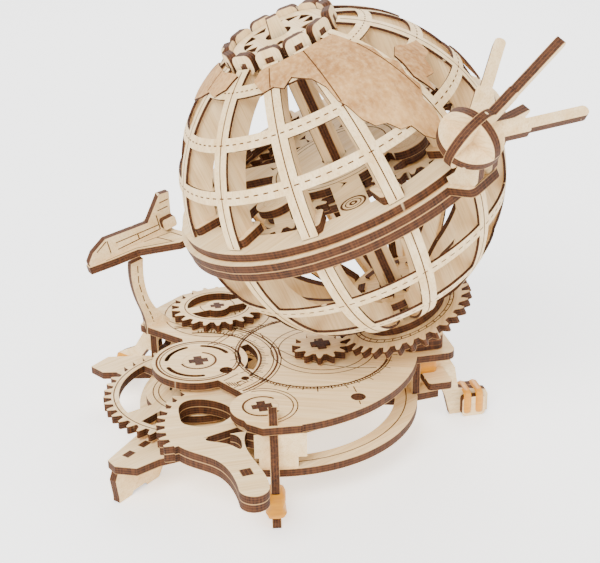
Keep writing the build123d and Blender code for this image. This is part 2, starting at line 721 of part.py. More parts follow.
LAND_T = 0.7
LAND_TOP_LAT = 67.0
LAND_FACE = 62.0
LAND_NEAR = 30.0
LANDS = (
    ((-125, 62), (-121, 66), (-113, 68), (-104, 71), (-84, 70), (-64, 69), (-54, 66), (-53, 58), (-50, 52), (-52, 47),
     (-49, 43), (-52, 38), (-51, 33), (-55, 29), (-54, 24), (-56, 19), (-61, 17), (-64, 20), (-66, 25), (-70, 26),
     (-73, 30), (-77, 31), (-80, 35), (-82, 41), (-84, 44), (-85, 50), (-89, 55), (-94, 57), (-99, 59), (-105, 56),
     (-111, 58), (-118, 57)),
    ((-47, 45), (-41, 47), (-35, 44), (-28, 42), (-31, 37), (-37, 37), (-41, 32), (-46, 33), (-48, 28), (-50, 36),
     (-48, 41)),
    ((150, 60), (156, 66), (168, 68), (-167, 70), (-150, 69), (-144, 66), (-150, 61), (-160, 58), (-170, 59),
     (-179, 56), (168, 52), (158, 54)),
    ((8, 58), (16, 64), (34, 67), (50, 65), (64, 60), (70, 50), (62, 44), (58, 35), (50, 32), (42, 22), (34, 18),
     (30, 26), (22, 30), (24, 38), (14, 42), (12, 50)),
    ((92, 55), (100, 60), (112, 61), (120, 66), (130, 60), (128, 50), (134, 44), (124, 38), (120, 28), (110, 26),
     (108, 34), (98, 36), (96, 46)),
    ((-12, 14), (-6, 22), (4, 24), (8, 18), (2, 13), (-6, 11)),
)
for_land = [land(outline) for outline in LANDS]
keep_tilted("landmass", *for_land)


# ---- poles and the lantern hub -----------------------------------------------------
def star(points, outer, inner, phase=0.0):
    corners = []
    for i in range(points):
        corners.append(polar((0, 0), outer, phase + 360 * i / points))
        corners.append(polar((0, 0), inner, phase + 360 * (i + 0.5) / points))
    return polygon(*corners)


def pole_ring():
    outline = annulus(16.0, HUB_BORE)
    outline -= annulus(12.2, 6.6) - star(RIBS, 12.6, 8.6, RIB_PHASE)
    return sheet(outline, POLE_Z)


def pole_star():
    upper = annulus(11.5, HUB_BORE) - (annulus(10.2, 6.2) - star(6, 11, 5.4, 15))
    lower = annulus(14.0, HUB_BORE) - (annulus(12.4, 6.2) - star(6, 13.4, 5.4, 45))
    return sheet(upper, POLE_Z - PLY), sheet(lower, POLE_Z - 2 * PLY)


def pole_caps():
    """A small upright clip on the end of each rib."""
    cap = Pos(0, 1.9) * rounded(8.2, 6.6, 2.2) - Pos(0, CAP_SLOT_TOP - 51.0 - 3.0) * Rectangle(PLY, 6.0)
    solid = extrude(cap, amount=PLY / 2, both=True)
    caps = []
    for i in range(RIBS):
        place = Rot(0, 0, rib_angle(i)) * Pos(CAP_R + PLY / 2, 0, 51.0) * Rot(0, 0, 90) * Rot(90, 0, 0)
        caps.append(place * solid)
    return caps


HUB_PINS = 8
HUB_PIN_R = 11.0


def pinned(outline):
    for i in range(HUB_PINS):
        outline -= turned(360 * (i + 0.5) / HUB_PINS, Pos(HUB_PIN_R, 0) * Rectangle(PLY, 4.6))
    return outline


def hub_discs():
    disc = pinned(annulus(15.9, HUB_BORE))
    return sheet(disc, HUB_HIGH_Z), sheet(disc, HUB_LOW_Z)


def hub_pins():
    length = HUB_HIGH_Z + PLY + 1.0 - GEAR_Z
    return [turned(360 * (i + 0.5) / HUB_PINS, Pos(HUB_PIN_R, 0) * sheet(Rectangle(PLY, 4.6), GEAR_Z, length))
            for i in range(HUB_PINS)]


def tilted_gear():
    return sheet(pinned(gear(TILTED_TEETH, 180) - Circle(HUB_BORE)), GEAR_Z)


keep_tilted("pole_ring", pole_ring())
keep_tilted("pole_star", *pole_star())
keep_tilted("pole_caps", *pole_caps())
keep_tilted("hub_discs", *hub_discs())
keep_tilted("hub_pins", *hub_pins())
keep_tilted("tilted_gear", tilted_gear())


# ---- shuttle on its arm ------------------------------------------------------------
SHUTTLE_PITCH = 13.5
NOSE_ALONG = -26.2
NOSE_UP = 58.0


def shuttle_arm():
    outline = make_face(
        Line((-6.0, DECK_Z), (4.0, DECK_Z))
        + Line((4.0, DECK_Z), (4.0, DECK_TOP + 1.0))
        + Spline((4.0, DECK_TOP + 1.0), (1.5, 34.5), (-3.0, 41.0), (-5.2, 49.0), (-5.2, 59.5))
        + Line((-5.2, 59.5), (-10.2, 58.3))
        + Spline((-10.2, 58.3), (-10.2, 50.0), (-8.4, 42.0), (-6.4, 36.0), (-6.0, DECK_Z)))
    return upright(outline, ARM_AT, ARM_ANGLE)


def shuttle_place():
    """Shuttle axes: X from nose to tail, Y to the side, Z up from the wing's top face."""
    return (Pos(*ARM_AT, 0) * Rot(0, 0, ARM_ANGLE) * Pos(NOSE_ALONG, 0, NOSE_UP + PLY)
            * Rot(0, -SHUTTLE_PITCH, 0))


def shuttle():
    place = shuttle_place()
    body = polygon((0, 0), (0, 1.6), (2.5, 4.6), (8.5, 7.6), (26, 6.0), (33.5, 14.5), (37.5, 14.0), (35.8, 6.0),
                   (36.4, 2.4), (33.5, 0))
    fuselage = place * Rot(90, 0, 0) * extrude(body, amount=PLY / 2, both=True)
    wing = polygon((-0.5, 1.6), (8, 3.6), (18, 5.2), (31, 14.5), (36.5, 15.0), (36.5, 10.5), (34.5, 3.6),
                   (34.5, -3.6), (36.5, -10.5), (36.5, -15.0), (31, -14.5), (18, -5.2), (8, -3.6), (-0.5, -1.6))
    wings = place * extrude(wing, amount=-PLY)
    side = Pos(33.2, 3.6) * rounded(5.4, 4.2, 1.0)
    engines = []
    for sign in (-1, 1):
        pod = place * Pos(0, sign * PLY, 0) * Rot(90, 0, 0) * extrude(side, amount=PLY / 2, both=True)
        engines.append(pod)
    return fuselage, wings, engines


keep("shuttle_arm", shuttle_arm())
fuselage, wings, engines = shuttle()
keep("shuttle_fuselage", fuselage)
keep("shuttle_wings", wings)
keep("shuttle_engines", *engines)


def floor_shift():
    """How far the model moves to stand centred over the origin, on the floor."""
    boxes = [solid.bounding_box() for solids in nodes.values() for solid in solids]
    x = (min(box.min.X for box in boxes) + max(box.max.X for box in boxes)) / 2
    y = (min(box.min.Y for box in boxes) + max(box.max.Y for box in boxes)) / 2
    z = min(box.min.Z for box in boxes)
    return Pos(-x, -y, -z)


def main():
    shift = floor_shift()
    for name, solids in nodes.items():
        moved = [shift * solid for solid in solids]
        piece = moved[0] if len(moved) == 1 else Compound(children=moved)
        export_step(piece, f"parts/{name}.step")


main()
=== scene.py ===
import json
import math

import bpy
from mathutils import Matrix, Vector
from mathutils.bvhtree import BVHTree


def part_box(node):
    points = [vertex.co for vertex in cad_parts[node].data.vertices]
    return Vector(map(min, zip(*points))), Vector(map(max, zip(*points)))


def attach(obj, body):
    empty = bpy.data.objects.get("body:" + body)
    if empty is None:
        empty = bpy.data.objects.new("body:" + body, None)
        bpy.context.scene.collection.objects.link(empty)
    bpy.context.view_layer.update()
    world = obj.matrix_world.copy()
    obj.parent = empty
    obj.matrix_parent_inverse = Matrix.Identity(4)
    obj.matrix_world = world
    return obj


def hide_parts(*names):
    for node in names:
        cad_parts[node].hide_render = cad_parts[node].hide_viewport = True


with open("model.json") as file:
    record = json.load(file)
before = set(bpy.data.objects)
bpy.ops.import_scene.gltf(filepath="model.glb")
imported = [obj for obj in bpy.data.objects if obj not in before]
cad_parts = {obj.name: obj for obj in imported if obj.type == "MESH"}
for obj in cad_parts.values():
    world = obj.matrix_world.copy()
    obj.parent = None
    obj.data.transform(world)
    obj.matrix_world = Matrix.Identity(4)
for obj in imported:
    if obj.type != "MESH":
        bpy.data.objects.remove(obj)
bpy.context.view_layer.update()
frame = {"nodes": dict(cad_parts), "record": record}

MM = 0.001
FINE = 0.42                # widths of engraved lines, in millimetres
THICK = 0.8
LIFT = 0.03 * MM          # an engraved line lies this far above its sheet
UP = Vector((0, 0, 1))
NODES = frame["nodes"]
BODIES = frame["record"]["behaviour"]["bodies"]
BODY_OF = {node: body for body, members in BODIES.items() for node in members}
JOINTS = {joint["name"]: joint for joint in frame["record"]["behaviour"]["joints"]}

CENTRE = Vector(JOINTS["globe_spin"]["pos_m"])
AXIS = Vector(JOINTS["globe_spin"]["axis"]).normalized()
TILT = math.atan2(-AXIS.x, AXIS.z)
EAST = Vector((math.cos(TILT), 0, math.sin(TILT)))
NORTH_SIDE = Vector((0, 1, 0))
SHAFT = Vector(JOINTS["dial_shaft_spin"]["pos_m"])
DRIVE = Vector(JOINTS["drive_spin"]["pos_m"])
LEVER = Vector(JOINTS["lever_swing"]["pos_m"])
HAND = Vector(JOINTS["hand_wheel_spin"]["pos_m"])
SHAFT_LAYOUT_X = -6.8      # where the dial shaft stands in the layout, in millimetres
SHIFT = Vector((SHAFT.x / MM - SHAFT_LAYOUT_X, SHAFT.y / MM, 0))     # from the layout to the row frame


def top_of(node):
    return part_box(node)[1][2]


def srgb(red, green, blue):
    """Linear colour for a screen colour given as 0 to 255."""
    values = []
    for channel in (red, green, blue):
        value = channel / 255
        values.append(value / 12.92 if value <= 0.04045 else ((value + 0.055) / 1.055) ** 2.4)
    return (*values, 1.0)


# ---- materials ---------------------------------------------------------------------
class Shader:
    """A material under construction, with short calls for the nodes used here."""

    def __init__(self, name, rough=0.6, specular=0.3):
        self.material = bpy.data.materials.new(name)
        self.material.use_nodes = True
        self.tree = self.material.node_tree
        self.surface = self.tree.nodes["Principled BSDF"]
        self.surface.inputs["Roughness"].default_value = rough
        self.surface.inputs["Specular IOR Level"].default_value = specular

    def node(self, kind, settings=None, **inputs):
        made = self.tree.nodes.new(kind)
        for key, value in (settings or {}).items():
            setattr(made, key, value)
        for key, value in inputs.items():
            self.feed(made, key.replace("_", " "), value)
        return made

    def feed(self, node, key, value):
        socket = node.inputs[int(key[3:])] if key.startswith("in ") else node.inputs[key]
        if isinstance(value, bpy.types.NodeSocket):
            self.tree.links.new(value, socket)
        else:
            socket.default_value = value

    def math(self, operation, first, second=0.0):
        return self.node("ShaderNodeMath", {"operation": operation}, in_0=first, in_1=second).outputs[0]

    def position(self):
        return self.node("ShaderNodeTexCoord").outputs["Object"]

    def noise(self, vector, scale, detail=3.0, rough=0.55, distortion=0.0):
        made = self.node("ShaderNodeTexNoise", Vector=vector, Scale=scale, Detail=detail, Roughness=rough,
                         Distortion=distortion)
        return made.outputs["Fac"]

    def steps(self, value, *stops):
        """A colour ramp; each stop is (position, colour or grey level)."""
        ramp = self.node("ShaderNodeValToRGB", Fac=value)
        elements = ramp.color_ramp.elements
        while len(elements) < len(stops):
            elements.new(0.5)
        for element, (place, colour) in zip(elements, stops):
            element.position = place
            element.color = colour if isinstance(colour, tuple) else (colour, colour, colour, 1)
        return ramp.outputs["Color"]

    def mix(self, factor, first, second, blend="MIX"):
        made = self.node("ShaderNodeMix", {"data_type": "RGBA", "blend_type": blend}, in_0=factor, in_6=first,
                         in_7=second)
        return made.outputs[2]

    def finish(self, colour, height=None, strength=0.3, distance=0.0001):
        self.feed(self.surface, "Base Color", colour)
        if height is not None:
            bump = self.node("ShaderNodeBump", Height=height, Strength=strength, Distance=distance)
            self.feed(self.surface, "Normal", bump.outputs["Normal"])
        return self.material


def sheet_space(shader, turn, spin_by_object=True):
    """Object coordinates laid along a sheet, with the grain turned differently on each piece."""
    laid = shader.node("ShaderNodeMapping", Vector=shader.position(), Rotation=turn).outputs[0]
    if not spin_by_object:
        return laid
    info = shader.node("ShaderNodeObjectInfo")
    angle = shader.math("MULTIPLY", info.outputs["Random"], math.pi)
    turned = shader.node("ShaderNodeVectorRotate", {"rotation_type": "Z_AXIS"}, Vector=laid, Angle=angle)
    return turned.outputs[0]


def birch(name, turn=(0, 0, 0), spin=True, grain=(22, 900, 900)):
    """The pale sheet face: long soft bands, fine fibres, short dark pores and faint smoke marks."""
    shader = Shader(name, rough=0.58, specular=0.25)
    space = sheet_space(shader, turn, spin)
    stretched = shader.node("ShaderNodeMapping", Vector=space, Scale=grain).outputs[0]
    bands = shader.noise(stretched, 0.35, 2.0, 0.5, 0.6)
    fibres = shader.noise(stretched, 2.2, 4.0, 0.6, 0.3)
    pores = shader.noise(stretched, 5.5, 2.0, 0.5)
    clouds = shader.noise(space, 45, 2.0)
    pale = srgb(238, 212, 166)
    warm = srgb(220, 186, 132)
    tan = srgb(182, 138, 84)
    colour = shader.mix(shader.steps(bands, (0.35, 0.0), (0.7, 0.85)), pale, warm)
    colour = shader.mix(shader.steps(fibres, (0.45, 0.0), (0.75, 0.55)), colour, tan)
    colour = shader.mix(shader.steps(pores, (0.66, 0.0), (0.78, 0.5)), colour, srgb(150, 112, 72))
    colour = shader.mix(shader.steps(clouds, (0.4, 0.0), (0.8, 0.3)), colour, warm)
    return shader.finish(colour, fibres, 0.25, 0.00006)


def burnt(name, squash):
    """The laser-cut edge: scorched brown layers with pale rims at the faces, which are a painted highlight
    along the corners, and a few pale nicks.
    """
    shader = Shader(name, rough=0.7, specular=0.22)
    space = sheet_space(shader, squash[0], False)
    through = shader.node("ShaderNodeMapping", Vector=space, Scale=squash[1]).outputs[0]
    depth = shader.node("ShaderNodeAttribute", {"attribute_name": "depth"}).outputs["Fac"]
    streaks = shader.noise(through, 1300, 3.0, 0.65)
    patches = shader.noise(space, 140, 2.0)
    nicks = shader.noise(through, 210, 1.0, 0.4)
    wobble = shader.math("MULTIPLY", shader.math("SUBTRACT", patches, 0.5), 0.10)
    level = shader.math("ADD", depth, wobble)
    colour = shader.mix(shader.steps(streaks, (0.38, 0.0), (0.72, 1.0)), srgb(40, 20, 9), srgb(90, 52, 26))
    colour = shader.mix(shader.steps(patches, (0.42, 0.0), (0.75, 0.6)), colour, srgb(72, 40, 20))
    layers = shader.steps(level, (0.30, 0.0), (0.34, 0.55), (0.38, 0.0), (0.62, 0.0), (0.66, 0.55),
                          (0.70, 0.0))
    colour = shader.mix(layers, colour, srgb(128, 80, 44))
    # painted highlight: a pale rim next to each face of the cut edge stands in for light caught on the corner
    painted_rim_highlight = shader.steps(level, (0.03, 0.75), (0.09, 0.0), (0.91, 0.0), (0.97, 0.75))
    colour = shader.mix(painted_rim_highlight, colour, srgb(190, 146, 96))
    colour = shader.mix(shader.steps(nicks, (0.725, 0.0), (0.75, 0.85)), colour, srgb(222, 194, 150))
    return shader.finish(colour, streaks, 0.4, 0.0001)


LEAN = (0, TILT, 0)
FACE_FLAT = birch("birch_flat")
FACE_TILTED = birch("birch_tilted", LEAN)
FACE_AXIAL = birch("birch_axial", LEAN, False, (700, 700, 24))
EDGE_FLAT = burnt("burnt_flat", ((0, 0, 0), (1, 1, 0.12)))
EDGE_TILTED = burnt("burnt_tilted", (LEAN, (1, 1, 0.12)))
EDGE_ANY = burnt("burnt_any", ((0, 0, 0), (1, 1, 1)))


def engraved():
    shader = Shader("engraved_line", rough=0.75, specular=0.15)
    mottle = shader.noise(shader.position(), 900, 2.0)
    return shader.finish(shader.mix(mottle, srgb(98, 60, 32), srgb(62, 36, 18)))


def land_face():
    """Land toned by the laser: tan with brown shading, fibres and darker blotches."""
    shader = Shader("land_toned", rough=0.62, specular=0.2)
    space = sheet_space(shader, LEAN, False)
    stretched = shader.node("ShaderNodeMapping", Vector=space, Scale=(500, 500, 40)).outputs[0]
    fibres = shader.noise(stretched, 1.6, 4.0)
    shade = shader.noise(space, 62, 4.0, 0.6, 0.8)
    specks = shader.noise(space, 700, 3.0)
    colour = shader.mix(shader.steps(shade, (0.3, 0.0), (0.72, 1.0)), srgb(198, 152, 96), srgb(142, 94, 48))
    colour = shader.mix(shader.steps(fibres, (0.4, 0.0), (0.8, 0.5)), colour, srgb(226, 190, 138))
    colour = shader.mix(shader.steps(specks, (0.55, 0.0), (0.8, 0.45)), colour, srgb(120, 80, 46))
    return shader.finish(colour, fibres, 0.3, 0.00008)


def amber_rubber():
    shader = Shader("amber_rubber", rough=0.38, specular=0.5)
    space = shader.position()
    bands = shader.noise(shader.node("ShaderNodeMapping", Vector=space, Scale=(1, 1, 8)).outputs[0], 220, 2.0)
    return shader.finish(shader.mix(bands, srgb(222, 152, 4), srgb(178, 108, 2)), bands, 0.2, 0.0001)


LINE = engraved()
LAND = land_face()
AMBER = amber_rubber()

TILTED_NODES = {"equator_upper_plate", "equator_lower_plate", "orbit_ring", "sun_gear", "planet_a_gear",
                "planet_b_gear", "planet_c_gear", "hub_discs", "pole_ring", "pole_star", "tilted_gear",
                "rib_feet", "column_collars", "satellite_bracket"}
AXIAL_NODES = {"ribs_north", "ribs_south", "skin_north", "skin_south", "pole_caps", "hub_pins",
               "column_strip_long", "column_strip_short", "planet_a_axle", "planet_b_axle", "planet_c_axle"}
SHELL_NODES = {"skin_north", "skin_south", "landmass"}
AXLES = {"drive_axle": DRIVE, "lever_axle": LEVER, "hand_axle": HAND, "shaft_axle": SHAFT}
MIDDLE = 0.5               # half way through the sheet, where the cut edge is darkest
CROSS_LENGTH = 7.1 * MM     # the crossed strips of an axle, seen from above
CROSS_ARM = 3.1 * MM


def corner_groups(mesh):
    """Numbers the connected solids of a mesh whose corners may be stored more than once."""
    lead = list(range(len(mesh.vertices)))

    def find(index):
        while lead[index] != index:
            lead[index] = lead[lead[index]]
            index = lead[index]
        return index

    seen = {}
    for vertex in mesh.vertices:
        key = tuple(round(value / MM, 3) for value in vertex.co)
        first = seen.setdefault(key, vertex.index)
        lead[find(vertex.index)] = find(first)
    for polygon in mesh.polygons:
        corners = list(polygon.vertices)
        for corner in corners[1:]:
            lead[find(corner)] = find(corners[0])
    return [find(polygon.vertices[0]) for polygon in mesh.polygons]


def is_face(polygon, normal_of_sheet, shell):
    if shell:
        out = (polygon.center - CENTRE).normalized()
        return abs(polygon.normal.dot(out)) > 0.8
    return abs(polygon.normal.dot(normal_of_sheet)) > 0.98


def sheet_normals(mesh, groups):
    """For each solid, the direction that most of its area faces."""
    areas = {}
    for polygon, group in zip(mesh.polygons, groups):
        normal = polygon.normal
        if normal.x + 0.3 * normal.y + 0.1 * normal.z < 0:
            normal = -normal
        key = tuple(round(value, 1) for value in normal)
        tally = areas.setdefault(group, {}).setdefault(key, [0.0, Vector((0, 0, 0))])
        tally[0] += polygon.area
        tally[1] += normal * polygon.area
    return {group: max(tallies.values(), key=lambda tally: tally[0])[1].normalized()
            for group, tallies in areas.items()}


def in_cross(point, centre):
    """Whether a point lies within the crossed strips of an axle that stands at the centre."""
    x = abs(point.x - centre.x)
    y = abs(point.y - centre.y)
    return max(x, y) < CROSS_LENGTH / 2 and min(x, y) < CROSS_ARM / 2


def dress(name, face, edge, flat_normal=None):
    """Gives the sheet faces and the cut edges of a piece their own materials."""
    mesh = NODES[name].data
    mesh.materials.clear()
    mesh.materials.append(face)
    mesh.materials.append(edge)
    groups = corner_groups(mesh)
    normals = sheet_normals(mesh, groups)
    spans = {}
    for polygon, group in zip(mesh.polygons, groups):
        normal = flat_normal or normals[group]
        polygon.material_index = 0 if is_face(polygon, normal, name in SHELL_NODES) else 1
        low, high, corners = spans.get(group, (math.inf, -math.inf, set()))
        for corner in polygon.vertices:
            reach = mesh.vertices[corner].co.dot(normal)
            low = min(low, reach)
            high = max(high, reach)
            corners.add(corner)
        spans[group] = (low, high, corners)
    one_colour_edge = name in SHELL_NODES or name in AXLES
    depth = mesh.attributes.new("depth", "FLOAT", "POINT")
    for group, (low, high, corners) in spans.items():
        normal = flat_normal or normals[group]
        for corner in corners:
            reach = mesh.vertices[corner].co.dot(normal)
            depth.data[corner].value = MIDDLE if one_colour_edge else (reach - low) / (high - low)
    if name in AXLES:
        for polygon in mesh.polygons:
            if in_cross(polygon.center, AXLES[name]):
                polygon.material_index = 1


for name in NODES:
    if name == "rubber_bands":
        dress(name, AMBER, AMBER)
    elif name == "landmass":
        dress(name, LAND, EDGE_TILTED)
    elif name in AXLES:
        dress(name, FACE_FLAT, EDGE_ANY, UP)
    elif name in TILTED_NODES:
        dress(name, FACE_TILTED, EDGE_TILTED)
    elif name in AXIAL_NODES:
        dress(name, FACE_AXIAL, EDGE_ANY)
    elif name.startswith(("satellite", "shuttle", "front_leg", "left_leg", "right_leg", "rear_leg",
                          "deck_spacers", "front_spacer")):
        dress(name, FACE_FLAT, EDGE_ANY)
    else:
        dress(name, FACE_FLAT, EDGE_FLAT)


# ---- engraved lines ----------------------------------------------------------------
TREES = {}


def tree_of(node):
    if node not in TREES:
        mesh = NODES[node].data
        TREES[node] = BVHTree.FromPolygons([v.co for v in mesh.vertices], [p.vertices for p in mesh.polygons])
    return TREES[node]


def lies_on(node, point, out):
    hit = tree_of(node).ray_cast(point + out * 0.4 * MM, -out, 0.8 * MM)
    return hit[0] is not None and hit[1].dot(out) > 0.9


def runs_on(node, points, out_at):
    """The stretches of a path that lie on the node's surface."""
    run = []
    for point in points:
        if lies_on(node, point, out_at(point)):
            run.append(point)
        else:
            if len(run) > 1:
                yield run
            run = []
    if len(run) > 1:
        yield run


def dashes(points, on, off):
    """Cuts a path into dashes of on points with off points between them."""
    start = 0
    while start < len(points) - 1:
        yield points[start:start + on + 1]
        start += on + off


def ribbon_mesh(name, runs, width, out_at):
    corners = []
    faces = []
    for run in runs:
        base = len(corners)
        for i, point in enumerate(run):
            ahead = run[min(i + 1, len(run) - 1)] - run[max(i - 1, 0)]
            out = out_at(point)
            side = out.cross(ahead).normalized() * width / 2
            corners += [point + side + out * LIFT, point - side + out * LIFT]
        for i in range(len(run) - 1):
            a = base + 2 * i
            faces.append((a, a + 1, a + 3, a + 2))
    mesh = bpy.data.meshes.new(name)
    mesh.from_pydata(corners, [], faces)
    return mesh


def engrave(name, node, paths, width, out_at, material=None):
    """Thin scorched lines along the paths, wherever they cross the node's surface."""
    runs = []
    for path in paths:
        runs += list(runs_on(node, path, out_at))
    if not runs:
        return None
    piece = bpy.data.objects.new(name, ribbon_mesh(name, runs, width * MM, out_at))
    piece.data.materials.append(material or LINE)
    bpy.context.scene.collection.objects.link(piece)
    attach(piece, BODY_OF[node])
    return piece


def upward(_point):
    return UP


def axial(_point):
    return AXIS


def radial(point):
    return (point - CENTRE).normalized()


def flat(x, y, z, centre=Vector((0, 0, 0))):
    return Vector((centre.x + x * MM, centre.y + y * MM, z))


def arc(centre, radius, z, start=0.0, end=360.0, step=2.0):
    count = max(2, int(abs(end - start) / step))
    points = []
    for i in range(count + 1):
        angle = math.radians(start + (end - start) * i / count)
        points.append(flat(radius * math.cos(angle), radius * math.sin(angle), z, centre))
    return points


def tick(centre, inner, outer, z, angle):
    angle = math.radians(angle)
    radii = (inner, (inner + outer) / 2, outer)
    return [flat(r * math.cos(angle), r * math.sin(angle), z, centre) for r in radii]


def leaning(x, y, z):
    """A point given in the globe's own axes, in millimetres."""
    return CENTRE + (EAST * x + NORTH_SIDE * y + AXIS * z) * MM


def leaning_arc(radius, z, start=0.0, end=360.0, step=2.0):
    count = max(2, int(abs(end - start) / step))
    angles = [math.radians(start + (end - start) * i / count) for i in range(count + 1)]
    return [leaning(radius * math.cos(a), radius * math.sin(a), z) for a in angles]


def leaning_circle(middle, radius, z):
    angles = [math.radians(step) for step in range(0, 364, 6)]
    return [leaning(middle[0] + radius * math.cos(a), middle[1] + radius * math.sin(a), z) for a in angles]


DECK_FACE = top_of("deck")
DRIVE_FACE = top_of("drive_gear")
BASE_FACE = top_of("base_plate")
HAND_FACE = top_of("hand_wheel")
LEVER_FACE = top_of("lever_upper")


def spot(x, y):
    """A point of the layout, in millimetres, as a centre in the row frame."""
    return Vector(((x + SHIFT.x) * MM, (y + SHIFT.y) * MM, 0))


def stroke(*points, z):
    """A straight-sided line through layout points, cut into short steps."""
    path = []
    for (x0, y0), (x1, y1) in zip(points, points[1:]):
        count = max(2, int(math.hypot(x1 - x0, y1 - y0) / 0.4))
        for i in range(count + 1):
            t = i / count
            centre = spot(x0 + (x1 - x0) * t, y0 + (y1 - y0) * t)
            path.append(Vector((centre.x, centre.y, z)))
    return path


def deck_lines():
    z = DECK_FACE
    scale = spot(-8.6, 3.6)
    small = spot(-5.0, 4.0)
    thick = [arc(scale, 27.5, z), arc(DRIVE, 15.1, z), arc(DRIVE, 6.3, z, 190, 430),
             arc(DRIVE, 22.6, z, -62, 88), arc(LEVER, 6.4, z, 40, 320), arc(DRIVE, 28.6, z, -78, 100)]
    fine = [arc(scale, 28.6, z), arc(DRIVE, 13.9, z), arc(DRIVE, 27.2, z, -74, 96),
            arc(DRIVE, 29.9, z, -78, 100), arc(LEVER, 10.6, z, -75, 100), arc(LEVER, 12.1, z, -75, 100),
            arc(HAND, 20.5, z),
            arc(small, 16.2, z), arc(small, 19.0, z), arc(spot(16, 26), 41.0, z, 185, 262),
            arc(spot(-62, 44), 31.0, z, -60, 20),
            arc(spot(-62, 44), 33.0, z, -60, 20), arc(spot(-30, 62), 34.0, z, 200, 330)]
    for step in range(0, 720, 5):
        fine.append(tick(scale, 27.5, 28.6, z, step / 2))
    for angle in range(0, 360, 10):
        fine.append(tick(scale, 26.9, 29.6 if angle % 20 else 30.8, z, angle))
    for angle in range(-56, 84, 3):
        fine.append(tick(DRIVE, 22.6, 25.6 if angle % 5 == 0 else 24.4, z, angle))
    fine += [stroke((-1.2, -26.0), (-1.2, -30.2), z=z), stroke((-1.6, -34.6), (-2.0, -38.6), z=z)]
    for i in range(5):
        fine.append(stroke((-43.6 + 0.9 * i, -12.4 - 0.3 * i), (-42.6 + 0.9 * i, -15.2 - 0.3 * i), z=z))
    fine += [stroke((-44.2, -11.2), (-38.4, -7.4), z=z), stroke((-42.0, -17.4), (-35.6, -13.4), z=z)]
    engrave("deck_circles", "deck", thick, THICK, upward)
    engrave("deck_scale", "deck", fine, FINE, upward)


def gear_lines():
    drive_rings = [arc(DRIVE, radius, DRIVE_FACE) for radius in (31.2, 17.0, 15.0)]
    engrave("drive_gear_rings", "drive_gear", drive_rings, FINE, upward)
    hand_rings = [arc(HAND, radius, HAND_FACE) for radius in (12.6, 6.6)]
    engrave("hand_wheel_rings", "hand_wheel", hand_rings, FINE, upward)
    engrave("base_plate_ring", "base_plate", [arc(spot(-22, 3), 46.8, BASE_FACE)], FINE, upward)
    rings = [arc(LEVER, radius, LEVER_FACE) for radius in (6.9, 9.6)]
    engrave("lever_rings", "lever_upper", rings, FINE, upward)


TILTED_GEAR_FACE = -58.5   # heights along the globe's axis, in millimetres
EQUATOR_FACE = 7.0
LAND_T = 0.75              # how far the land stands out of the skin


def tilted_lines():
    gear_face = TILTED_GEAR_FACE
    rings = [leaning_arc(18.0, gear_face), leaning_arc(19.4, gear_face)]
    marks = []
    for step in range(0, 360, 10):
        a = math.radians(step)
        marks.append([leaning(r * math.cos(a), r * math.sin(a), gear_face) for r in (18.0, 18.7, 19.4)])
    engrave("tilted_gear_rings", "tilted_gear", rings + marks, FINE, axial)
    plate_face = EQUATOR_FACE
    fine = [leaning_arc(19.0, plate_face), leaning_arc(21.5, plate_face)]
    thick = []
    for angle in (-96, 24, 144):
        a = math.radians(angle)
        boss = (41.2 * math.cos(a), 41.2 * math.sin(a))
        thick += [leaning_circle(boss, 4.0, plate_face), leaning_circle(boss, 1.0, plate_face)]
        fine.append(leaning_circle(boss, 2.6, plate_face))
    engrave("equator_rings", "equator_upper_plate", fine, FINE, axial)
    engrave("equator_bosses", "equator_upper_plate", thick, THICK, axial)


RIBS = 12
RIB_PHASE = -143.0
SKIN_R = 55.6


def on_globe(radius, lon, lat):
    lon = math.radians(lon)
    lat = math.radians(lat)
    return leaning(radius * math.cos(lat) * math.cos(lon), radius * math.cos(lat) * math.sin(lon),
                   radius * math.sin(lat))


def skin_lines():
    """A seam down each meridian strip and a dashed line along each parallel strip."""
    north = []
    south = []
    seams = []
    for i in range(RIBS):
        lon = RIB_PHASE + 360 / RIBS * i
        north.append([on_globe(SKIN_R, lon, lat) for lat in range(8, 70)])
        south.append([on_globe(SKIN_R, lon, -lat) for lat in range(4, 72)])
        seams.append([on_globe(SKIN_R + LAND_T, lon, lat) for lat in range(8, 80)])
    engrave("skin_north_seams", "skin_north", north, FINE, radial)
    engrave("skin_south_seams", "skin_south", south, FINE, radial)
    engrave("land_seams", "landmass", seams, FINE, radial)
    for node, latitudes in (("skin_north", (25.0, 42.0, 60.0)), ("skin_south", (-22.0, -42.0))):
        paths = []
        for lat in latitudes:
            ring = [on_globe(SKIN_R, lon, lat) for lon in range(0, 361)]
            paths += list(dashes(ring, 2, 2))
        engrave(f"{node}_dashes", node, paths, FINE, radial)


ARM_TURN = math.radians(20)
ARM_PLACE = (-61.0, 41.5)
NOSE = (-26.2, 0, 61.0)    # from the foot of the arm, in millimetres
SIDE_LINES = ((4, 4.2, 8.6, 6.6), (9, 1.4, 9, 6.6), (12, 4.4, 30, 3.4), (12, 1.6, 30, 1.6),
              (21, 1.6, 21, 4.0), (30, 1.6, 30, 7.4), (31, 8.8, 35.4, 8.8), (32.6, 11.4, 36.4, 11.4))
SHUTTLE_PITCH = math.radians(13.5)


def shuttle_frame():
    """Shuttle axes in the row frame: X from nose to tail, Y to the side, Z up from the wing."""
    foot = Matrix.Translation(spot(*ARM_PLACE)) @ Matrix.Rotation(ARM_TURN, 4, "Z")
    return foot @ Matrix.Translation(Vector(NOSE) * MM) @ Matrix.Rotation(-SHUTTLE_PITCH, 4, "Y")


def shuttle_path(points, frame_matrix):
    path = []
    for start, end in zip(points, points[1:]):
        for i in range(13):
            path.append(frame_matrix @ (Vector(start).lerp(Vector(end), i / 12) * MM))
    return path


